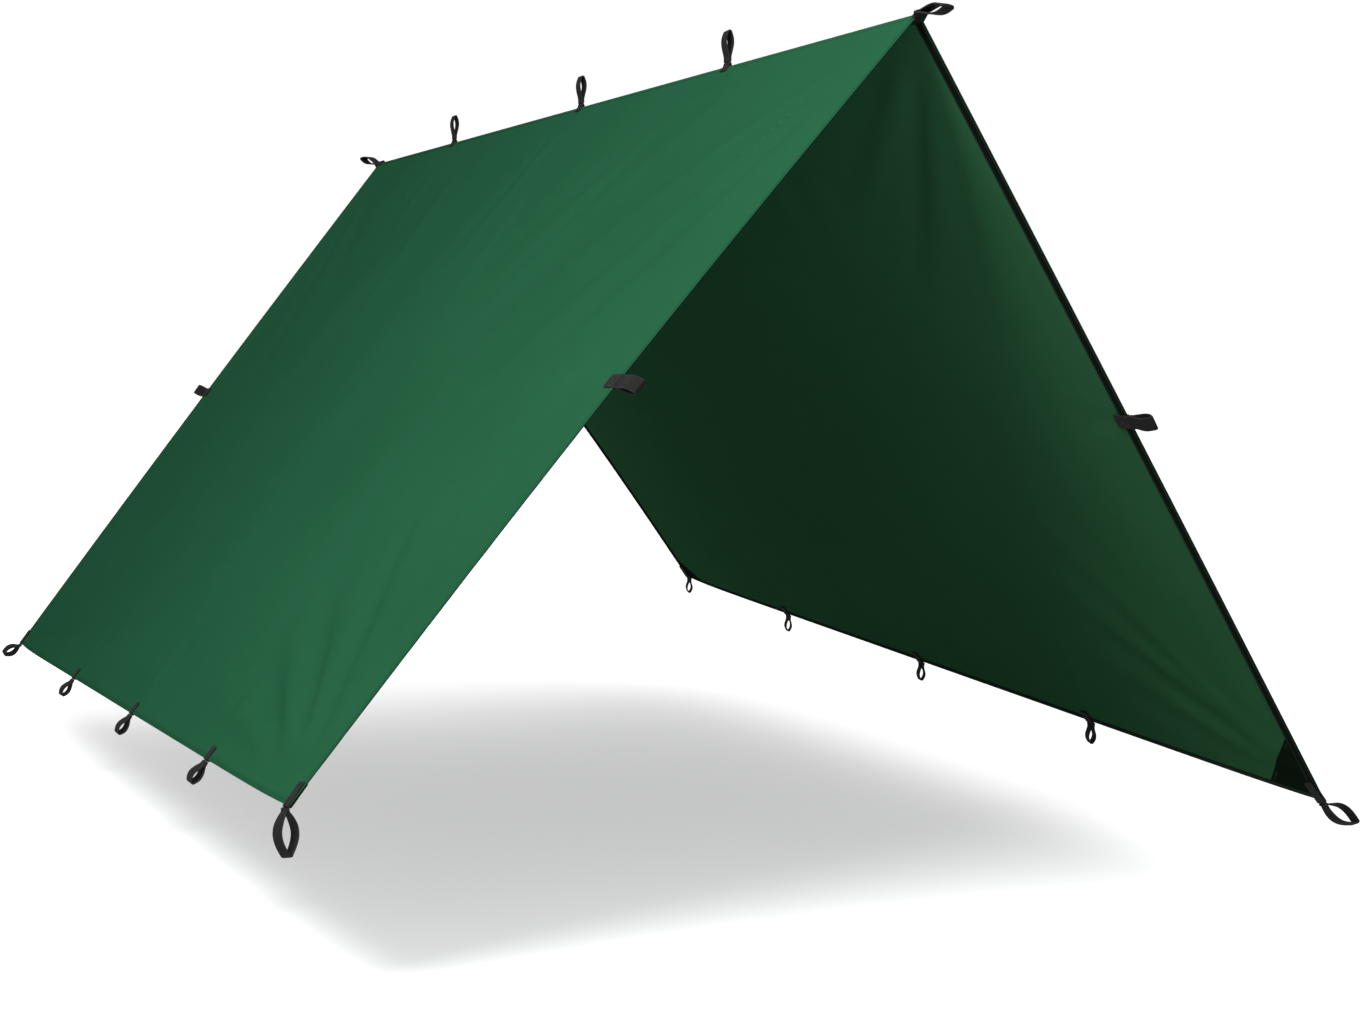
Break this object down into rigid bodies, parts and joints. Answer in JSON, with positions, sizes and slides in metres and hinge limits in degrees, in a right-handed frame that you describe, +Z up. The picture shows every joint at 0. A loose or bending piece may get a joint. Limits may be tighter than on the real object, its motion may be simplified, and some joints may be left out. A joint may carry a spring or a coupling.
{
  "type": "tarp shelter",
  "caption": "Rectangular ridge tarp pitched as an A-frame, with webbing tie-out eyes along its ridge, eaves and gable edges.",
  "frame": {"origin": "on the ground plane, at the middle of the pitched outline, with the lowest webbing eye touching z = 0", "axes": "+Y along the ridge from the front opening to the back, +X across the shelter to its right panel, +Z up"},
  "size_m": [1.9198, 3.1518, 1.3682],
  "materials": {
    "green_cloth": "satin coated polyester, fine ripstop weave",
    "black_tape": "matt woven tape and reinforcement cloth",
    "black_webbing": "matt ribbed webbing"
  },
  "bodies": {
    "ridge": {"ridge_seam": "green_cloth", "tab_ridge_back": "black_webbing", "tab_ridge_end_back": "black_webbing", "tab_ridge_end_front": "black_webbing", "tab_ridge_front": "black_webbing", "tab_ridge_mid": "black_webbing"},
    "left_panel": {"left_panel": "green_cloth", "patch_left_back": "black_tape", "patch_left_front": "black_tape", "tab_left_corner_back": "black_webbing", "tab_left_corner_front": "black_webbing", "tab_left_eave_back": "black_webbing", "tab_left_eave_front": "black_webbing", "tab_left_eave_mid": "black_webbing", "tab_left_gable_back": "black_webbing", "tab_left_gable_front": "black_webbing", "tape_left_back": "black_tape", "tape_left_eave": "black_tape", "tape_left_front": "black_tape"},
    "right_panel": {"patch_right_back": "black_tape", "patch_right_front": "black_tape", "right_panel": "green_cloth", "tab_right_corner_back": "black_webbing", "tab_right_corner_front": "black_webbing", "tab_right_eave_back": "black_webbing", "tab_right_eave_front": "black_webbing", "tab_right_eave_mid": "black_webbing", "tab_right_gable_back": "black_webbing", "tab_right_gable_front": "black_webbing", "tape_right_back": "black_tape", "tape_right_eave": "black_tape", "tape_right_front": "black_tape"},
    "loop_left_corner_back": {"loop_left_corner_back": "black_webbing"},
    "loop_left_corner_front": {"loop_left_corner_front": "black_webbing"},
    "loop_left_eave_back": {"loop_left_eave_back": "black_webbing"},
    "loop_left_eave_front": {"loop_left_eave_front": "black_webbing"},
    "loop_left_eave_mid": {"loop_left_eave_mid": "black_webbing"},
    "loop_left_gable_back": {"loop_left_gable_back": "black_webbing"},
    "loop_left_gable_front": {"loop_left_gable_front": "black_webbing"},
    "loop_ridge_back": {"loop_ridge_back": "black_webbing"},
    "loop_ridge_end_back": {"loop_ridge_end_back": "black_webbing"},
    "loop_ridge_end_front": {"loop_ridge_end_front": "black_webbing"},
    "loop_ridge_front": {"loop_ridge_front": "black_webbing"},
    "loop_ridge_mid": {"loop_ridge_mid": "black_webbing"},
    "loop_right_corner_back": {"loop_right_corner_back": "black_webbing"},
    "loop_right_corner_front": {"loop_right_corner_front": "black_webbing"},
    "loop_right_eave_back": {"loop_right_eave_back": "black_webbing"},
    "loop_right_eave_front": {"loop_right_eave_front": "black_webbing"},
    "loop_right_eave_mid": {"loop_right_eave_mid": "black_webbing"},
    "loop_right_gable_back": {"loop_right_gable_back": "black_webbing"},
    "loop_right_gable_front": {"loop_right_gable_front": "black_webbing"}
  },
  "joints": [
    {"name": "left_panel_swing", "type": "hinge", "parent": "ridge", "child": "left_panel", "pos_m": [0.041, 0, 1.304], "axis": [0, 1, 0], "range_deg": [-30, 49]},
    {"name": "right_panel_swing", "type": "hinge", "parent": "ridge", "child": "right_panel", "pos_m": [0.041, 0, 1.304], "axis": [0, -1, 0], "range_deg": [-26, 50]},
    {"name": "left_corner_back_flop", "type": "hinge", "parent": "left_panel", "child": "loop_left_corner_back", "pos_m": [-0.89825, 1.46244, 0.07402], "axis": [0.0185, 0.9996, -0.0231], "range_deg": [-108, 51]},
    {"name": "left_corner_front_flop", "type": "hinge", "parent": "left_panel", "child": "loop_left_corner_front", "pos_m": [-0.93943, -1.50444, 0.15914], "axis": [-0.0723, 0.9886, -0.1317], "range_deg": [-40, 119]},
    {"name": "left_eave_back_flop", "type": "hinge", "parent": "left_panel", "child": "loop_left_eave_back", "pos_m": [-0.91427, 0.52974, 0.0969], "axis": [0.0178, 0.9996, -0.0236], "range_deg": [-79, 80]},
    {"name": "left_eave_front_flop", "type": "hinge", "parent": "left_panel", "child": "loop_left_eave_front", "pos_m": [-0.93387, -0.94183, 0.14034], "axis": [0.0172, 0.9996, -0.0246], "range_deg": [-80, 80]},
    {"name": "left_eave_mid_flop", "type": "hinge", "parent": "left_panel", "child": "loop_left_eave_mid", "pos_m": [-0.92424, -0.21801, 0.11897], "axis": [0.0175, 0.9996, -0.0241], "range_deg": [-80, 80]},
    {"name": "left_gable_back_flop", "type": "hinge", "parent": "left_panel", "child": "loop_left_gable_back", "pos_m": [-0.42205, 1.48559, 0.7032], "axis": [0.6073, 0.0071, 0.7945], "range_deg": [-94, 65]},
    {"name": "left_gable_front_flop", "type": "hinge", "parent": "left_panel", "child": "loop_left_gable_front", "pos_m": [-0.44636, -1.51454, 0.74938], "axis": [-0.6514, -0.008, -0.7587], "range_deg": [-68, 91]},
    {"name": "ridge_back_flop", "type": "hinge", "parent": "ridge", "child": "loop_ridge_back", "pos_m": [0.041, 0.8282, 1.3139], "axis": [0, 1, 0], "range_deg": [-80, 80]},
    {"name": "ridge_end_back_flop", "type": "hinge", "parent": "ridge", "child": "loop_ridge_end_back", "pos_m": [0.041, 1.49699, 1.30465], "axis": [0.932, 0.3624, 0], "range_deg": [-94, 65]},
    {"name": "ridge_end_front_flop", "type": "hinge", "parent": "ridge", "child": "loop_ridge_end_front", "pos_m": [0.041, -1.51372, 1.30465], "axis": [-0.9684, -0.2496, 0], "range_deg": [-81, 78]},
    {"name": "ridge_front_flop", "type": "hinge", "parent": "ridge", "child": "loop_ridge_front", "pos_m": [0.041, -0.7864, 1.3139], "axis": [0, 1, 0], "range_deg": [-80, 80]},
    {"name": "ridge_mid_flop", "type": "hinge", "parent": "ridge", "child": "loop_ridge_mid", "pos_m": [0.041, -0.0389, 1.3139], "axis": [0, 1, 0], "range_deg": [-80, 80]},
    {"name": "right_corner_back_flop", "type": "hinge", "parent": "right_panel", "child": "loop_right_corner_back", "pos_m": [0.94993, 1.53787, 0.17766], "axis": [-0.0133, -0.9976, -0.0678], "range_deg": [-43, 116]},
    {"name": "right_corner_front_flop", "type": "hinge", "parent": "right_panel", "child": "loop_right_corner_front", "pos_m": [0.849, -1.45138, 0.03731], "axis": [-0.1763, -0.9673, 0.1823], "range_deg": [-107, 52]},
    {"name": "right_eave_back_flop", "type": "hinge", "parent": "right_panel", "child": "loop_right_eave_back", "pos_m": [0.93161, 0.84286, 0.13834], "axis": [-0.0203, -0.9976, -0.0663], "range_deg": [-44, 115]},
    {"name": "right_eave_front_flop", "type": "hinge", "parent": "right_panel", "child": "loop_right_eave_front", "pos_m": [0.87792, -0.67843, 0.0695], "axis": [-0.027, -0.998, -0.0573], "range_deg": [-46, 113]},
    {"name": "right_eave_mid_flop", "type": "hinge", "parent": "right_panel", "child": "loop_right_eave_mid", "pos_m": [0.90458, 0.07769, 0.10368], "axis": [-0.0238, -0.9978, -0.0618], "range_deg": [-45, 114]},
    {"name": "right_gable_back_flop", "type": "hinge", "parent": "right_panel", "child": "loop_right_gable_back", "pos_m": [0.50327, 1.52119, 0.76653], "axis": [0.6292, 0.0443, -0.776], "range_deg": [-80, 80]},
    {"name": "right_gable_front_flop", "type": "hinge", "parent": "right_panel", "child": "loop_right_gable_front", "pos_m": [0.43756, -1.48831, 0.68455], "axis": [-0.5378, -0.0281, 0.8426], "range_deg": [-84, 75]}
  ]
}
